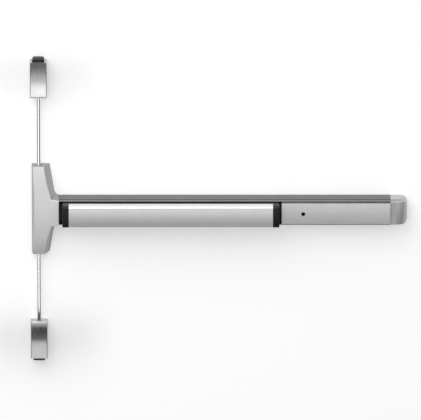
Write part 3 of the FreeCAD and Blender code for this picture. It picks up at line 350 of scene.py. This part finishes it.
def screw_form(name, radius, height):
    """A round-headed screw head standing on the origin along +Z with a cross recess."""
    work = bmesh.new()
    turns = [2 * math.pi * i / HEAD_SIDES for i in range(HEAD_SIDES)]
    rings = [[work.verts.new((radius * share * math.cos(turn), radius * share * math.sin(turn),
                              height * rise)) for turn in turns] for share, rise in HEAD_DOME]
    for low, high in zip(rings, rings[1:]):
        for i in range(HEAD_SIDES):
            j = (i + 1) % HEAD_SIDES
            work.faces.new((low[i], low[j], high[j], high[i]))
    work.faces.new(list(reversed(rings[0])))
    work.faces.new(rings[-1])
    head = bpy.data.meshes.new(name)
    work.to_mesh(head)
    work.free()
    made = bpy.data.objects.new(name, head)
    scene.collection.objects.link(made)
    for turn in (0.0, math.pi / 2):
        bit_mesh = bpy.data.meshes.new(name + "_bit")
        bit = bmesh.new()
        bmesh.ops.create_cube(bit, size=1.0)
        bmesh.ops.scale(bit, vec=(radius * RECESS_LENGTH, radius * RECESS_WIDTH, height * RECESS_HEIGHT),
                        verts=bit.verts)
        bmesh.ops.translate(bit, vec=(0, 0, height * RECESS_MIDDLE), verts=bit.verts)
        bmesh.ops.rotate(bit, cent=(0, 0, 0), matrix=Matrix.Rotation(turn, 3, "Z"), verts=bit.verts)
        bit.to_mesh(bit_mesh)
        bit.free()
        tool = bpy.data.objects.new(name + "_bit", bit_mesh)
        scene.collection.objects.link(tool)
        cutting = made.modifiers.new("recess", "BOOLEAN")
        cutting.operation = "DIFFERENCE"
        cutting.solver = "EXACT"
        cutting.object = tool
        cut_mesh = applied(made)
        made.modifiers.remove(cutting)
        made.data = cut_mesh
        bpy.data.objects.remove(tool)
    for face in made.data.polygons:
        face.use_smooth = True
    made.data.set_sharp_from_angle(angle=math.radians(CREASE_ANGLE))
    return made


def socket(tree, name):
    """The identifier of a node group's named input."""
    return next(item.identifier for item in tree.interface.items_tree
                if item.item_type == "SOCKET" and item.in_out == "INPUT" and item.name == name)


def scatter_tree():
    """A node group that stands a screw on every vertex, turned to the vertex's own direction."""
    tree = bpy.data.node_groups.new("stand_screws", "GeometryNodeTree")
    for name, kind in (("Spots", "NodeSocketGeometry"), ("Screw", "NodeSocketObject"),
                       ("Finish", "NodeSocketMaterial"), ("Seed", "NodeSocketInt")):
        tree.interface.new_socket(name, in_out="INPUT", socket_type=kind)
    tree.interface.new_socket("Screws", in_out="OUTPUT", socket_type="NodeSocketGeometry")
    entry = tree.nodes.new("NodeGroupInput")
    leave = tree.nodes.new("NodeGroupOutput")
    shape = tree.nodes.new("GeometryNodeObjectInfo")
    direction = tree.nodes.new("GeometryNodeInputNamedAttribute")
    direction.data_type = "FLOAT_VECTOR"
    direction.inputs["Name"].default_value = "outward"
    aim = tree.nodes.new("FunctionNodeAlignRotationToVector")
    aim.axis = "Z"
    chance = tree.nodes.new("FunctionNodeRandomValue")
    chance.data_type = "FLOAT"
    chance.inputs[3].default_value = math.pi
    spin = tree.nodes.new("FunctionNodeAxisAngleToRotation")
    spin.inputs["Axis"].default_value = (0, 0, 1)
    turned = tree.nodes.new("FunctionNodeRotateRotation")
    turned.rotation_space = "LOCAL"
    stand = tree.nodes.new("GeometryNodeInstanceOnPoints")
    solid = tree.nodes.new("GeometryNodeRealizeInstances")
    coat = tree.nodes.new("GeometryNodeSetMaterial")
    link = tree.links.new
    link(entry.outputs["Spots"], stand.inputs["Points"])
    link(entry.outputs["Screw"], shape.inputs["Object"])
    link(shape.outputs["Geometry"], stand.inputs["Instance"])
    link(direction.outputs["Attribute"], aim.inputs["Vector"])
    link(entry.outputs["Seed"], chance.inputs["Seed"])
    link(chance.outputs[1], spin.inputs["Angle"])
    link(aim.outputs["Rotation"], turned.inputs["Rotation"])
    link(spin.outputs["Rotation"], turned.inputs["Rotate By"])
    link(turned.outputs["Rotation"], stand.inputs["Rotation"])
    link(stand.outputs["Instances"], solid.inputs["Geometry"])
    link(solid.outputs["Geometry"], coat.inputs["Geometry"])
    link(entry.outputs["Finish"], coat.inputs["Material"])
    link(coat.outputs["Geometry"], leave.inputs["Screws"])
    return tree


stand_screws = scatter_tree()


def screws(node, radius, height, spots, finish, seed):
    """Stand screws at (x, z, standoff) spots in millimetres, each facing its outward direction."""
    form = screw_form(node + "_form", radius * MM, height * MM)
    points = bpy.data.meshes.new(node + "_spots")
    points.from_pydata([(x * MM, -out * MM, z * MM) for x, z, out, _ in spots], [], [])
    outward = points.attributes.new("outward", "FLOAT_VECTOR", "POINT")
    for item, (_, _, _, direction) in zip(outward.data, spots):
        item.vector = direction
    holder = bpy.data.objects.new(node + "_holder", points)
    scene.collection.objects.link(holder)
    growing = holder.modifiers.new("growing", "NODES")
    growing.node_group = stand_screws
    growing[socket(stand_screws, "Screw")] = form
    growing[socket(stand_screws, "Finish")] = finish
    growing[socket(stand_screws, "Seed")] = seed
    mesh = applied(holder)
    mesh.name = node + "_heads"
    bpy.data.objects.remove(holder)
    bpy.data.objects.remove(form)
    return show(mesh, node + "_heads", body_named(node), node)


COVER_HEAD = (2.6, 1.4)
END_HEAD = (3.0, 1.8)
LATCH_HEAD = (2.4, 1.2)
COVER_SCREW_X = 10
COVER_SCREW_OUT = 10.0
END_SCREW_Z = 8.0
END_SCREW_OUT = 12.0
LATCH_SCREW_OUT = 7.5
SIDES = (-1, 1)

_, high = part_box("cover_screws")
cover_top = high[2] / MM - COVER_HEAD[1]
screws("cover_screws", *COVER_HEAD, [(x, side * cover_top, COVER_SCREW_OUT, (0, 0, side))
                                     for x in (-COVER_SCREW_X, COVER_SCREW_X) for side in SIDES], zinc, 3)
_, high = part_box("end_cap_screws")
end_face = high[0] / MM - END_HEAD[1]
screws("end_cap_screws", *END_HEAD, [(end_face, side * END_SCREW_Z, END_SCREW_OUT, (1, 0, 0))
                                     for side in SIDES], zinc, 5)
_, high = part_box("latch_cover_screws")
latch_side = high[0] / MM - LATCH_HEAD[1]
latch_high = high[2] / MM - LATCH_HEAD[0]
screws("latch_cover_screws", *LATCH_HEAD, [(latch_side, side * latch_high, LATCH_SCREW_OUT, (1, 0, 0))
                                           for side in SIDES], zinc, 7)


# ---- backdrop, light, camera ---------------------------------------------------------------

WALL_Y = 0.0005
WALL_GLOW = 0.33
FLAG_Y = -0.08
FLAG_HALF = 0.12
LOWER_FLAG = (-0.325, -0.262)
UPPER_FLAG = (0.302, 0.350)


def matt(name, grey):
    """A rough plain finish, with its node tree and its shader."""
    made, tree, shader, _ = new_material(name)
    shader.inputs["Base Color"].default_value = (grey, grey, grey, 1)
    shader.inputs["Roughness"].default_value = 0.9
    return made, tree, shader


def flat_panel(name, finish, depth, left, right, foot, top):
    """An upright sheet facing the front."""
    mesh = bpy.data.meshes.new(name)
    mesh.from_pydata([(left, depth, foot), (right, depth, foot), (right, depth, top), (left, depth, top)],
                     [], [(0, 1, 2, 3)])
    mesh.materials.append(finish)
    made = bpy.data.objects.new(name, mesh)
    scene.collection.objects.link(made)
    return made


paper, paper_tree, paper_shader = matt("pale_backdrop", 0.9)
paper_shader.inputs["Specular IOR Level"].default_value = 0.1
paper_shader.inputs["Emission Color"].default_value = WHITE
paper_shader.inputs["Emission Strength"].default_value = WALL_GLOW
behind = paper_tree.nodes.new("ShaderNodeNewGeometry")
clear = paper_tree.nodes.new("ShaderNodeBsdfTransparent")
one_sided = paper_tree.nodes.new("ShaderNodeMixShader")
paper_tree.links.new(behind.outputs["Backfacing"], one_sided.inputs["Fac"])
paper_tree.links.new(paper_shader.outputs[0], one_sided.inputs[1])
paper_tree.links.new(clear.outputs[0], one_sided.inputs[2])
paper_tree.links.new(one_sided.outputs[0], paper_tree.nodes["Material Output"].inputs["Surface"])
wall = flat_panel("backdrop", paper, WALL_Y, -6, 7, -6, 6)

cloth, _, _ = matt("black_flag_cloth", 0.01)
for flag_name, (foot, top) in (("lower_black_flag", LOWER_FLAG), ("upper_black_flag", UPPER_FLAG)):
    flag = flat_panel(flag_name, cloth, FLAG_Y, -FLAG_HALF, FLAG_HALF, foot, top)
    flag.visible_camera = False
    flag.visible_shadow = False


def soft_light(name, where, target, width, height, power):
    """A rectangular light in metres and watts, turned to its target."""
    data = bpy.data.lights.new(name, "AREA")
    data.shape = "RECTANGLE"
    data.size = width
    data.size_y = height
    data.energy = power
    made = bpy.data.objects.new(name, data)
    made.location = where
    made.rotation_euler = (Vector(target) - Vector(where)).to_track_quat("-Z", "Y").to_euler()
    scene.collection.objects.link(made)
    return made


MIDDLE = (0.378, -0.03, 0.0034)
soft_light("main_soft_box", where=(-0.8, -1.6, 2.1), target=MIDDLE, width=3.0, height=2.4, power=38)


def card_for(name, pieces, where, target, width, height, power):
    """A small light card, out of sight, that shines only on the named pieces."""
    card = soft_light(name, where, target, width, height, power)
    card.visible_camera = False
    lit = bpy.data.collections.new(name + "_pieces")
    for piece in pieces:
        lit.objects.link(piece)
    card.light_linking.receiver_collection = lit


card_for("upper_latch_card", [bpy.data.objects["top_latch_cover_soft"]], where=(0.0, -0.62, -0.25),
         target=(0, -0.026, 0.28), width=0.5, height=0.5, power=1.5)
card_for("lower_latch_card", [bpy.data.objects["bottom_latch_cover_soft"]], where=(0.0, -0.60, -0.56),
         target=(0, -0.028, -0.33), width=0.4, height=0.16, power=0.2)
card_for("rod_card", [nodes["top_rod"], nodes["bottom_rod"]], where=(0.0, -1.0, -0.36),
         target=(0, -0.013, 0.0), width=0.5, height=0.8, power=1.9)


def eased(tree, value, start, end, low, high):
    """A value eased from low, at start, to high, at end."""
    made = tree.nodes.new("ShaderNodeMapRange")
    made.interpolation_type = "SMOOTHSTEP"
    made.inputs["From Min"].default_value = start
    made.inputs["From Max"].default_value = end
    made.inputs["To Min"].default_value = low
    made.inputs["To Max"].default_value = high
    tree.links.new(value, made.inputs["Value"])
    return made.outputs["Result"]


TOWARD_LIGHT = (-0.30, 0.0, 0.95)

world = bpy.data.worlds.new("studio")
scene.world = world
world.use_nodes = True
sky = world.node_tree
facing = sky.nodes.new("ShaderNodeTexCoord")
upward = sky.nodes.new("ShaderNodeVectorMath")
upward.operation = "DOT_PRODUCT"
upward.inputs[1].default_value = TOWARD_LIGHT
sky.links.new(facing.outputs["Generated"], upward.inputs[0])
parts = sky.nodes.new("ShaderNodeSeparateXYZ")
sky.links.new(facing.outputs["Generated"], parts.inputs[0])
sideways = sky.nodes.new("ShaderNodeMath")
sideways.operation = "ABSOLUTE"
sky.links.new(parts.outputs["X"], sideways.inputs[0])
level = sky.nodes.new("ShaderNodeMath")
level.operation = "MULTIPLY"
sky.links.new(eased(sky, upward.outputs["Value"], -0.85, 0.3, 0.23, 0.95), level.inputs[0])
sky.links.new(eased(sky, sideways.outputs[0], 0.35, 0.85, 1.0, 0.3), level.inputs[1])
sky.nodes["Background"].inputs["Color"].default_value = WHITE
sky.links.new(level.outputs[0], sky.nodes["Background"].inputs["Strength"])

DISTANCE = 36.0
RISE = math.radians(20.0)
VIEW_WIDTH = 0.9262
SENSOR = 36.0
FAR_LIMIT = 200.0

camera = bpy.data.objects.new("camera", bpy.data.cameras.new("camera"))
scene.collection.objects.link(camera)
camera.location = Vector(MIDDLE) + DISTANCE * Vector((0, -math.cos(RISE), math.sin(RISE)))
camera.rotation_euler = (Vector(MIDDLE) - camera.location).to_track_quat("-Z", "Y").to_euler()
camera.data.sensor_width = SENSOR
camera.data.lens = SENSOR * DISTANCE / VIEW_WIDTH
camera.data.clip_end = FAR_LIMIT
scene.camera = camera
scene.view_settings.view_transform = "Standard"
scene.view_settings.look = "None"
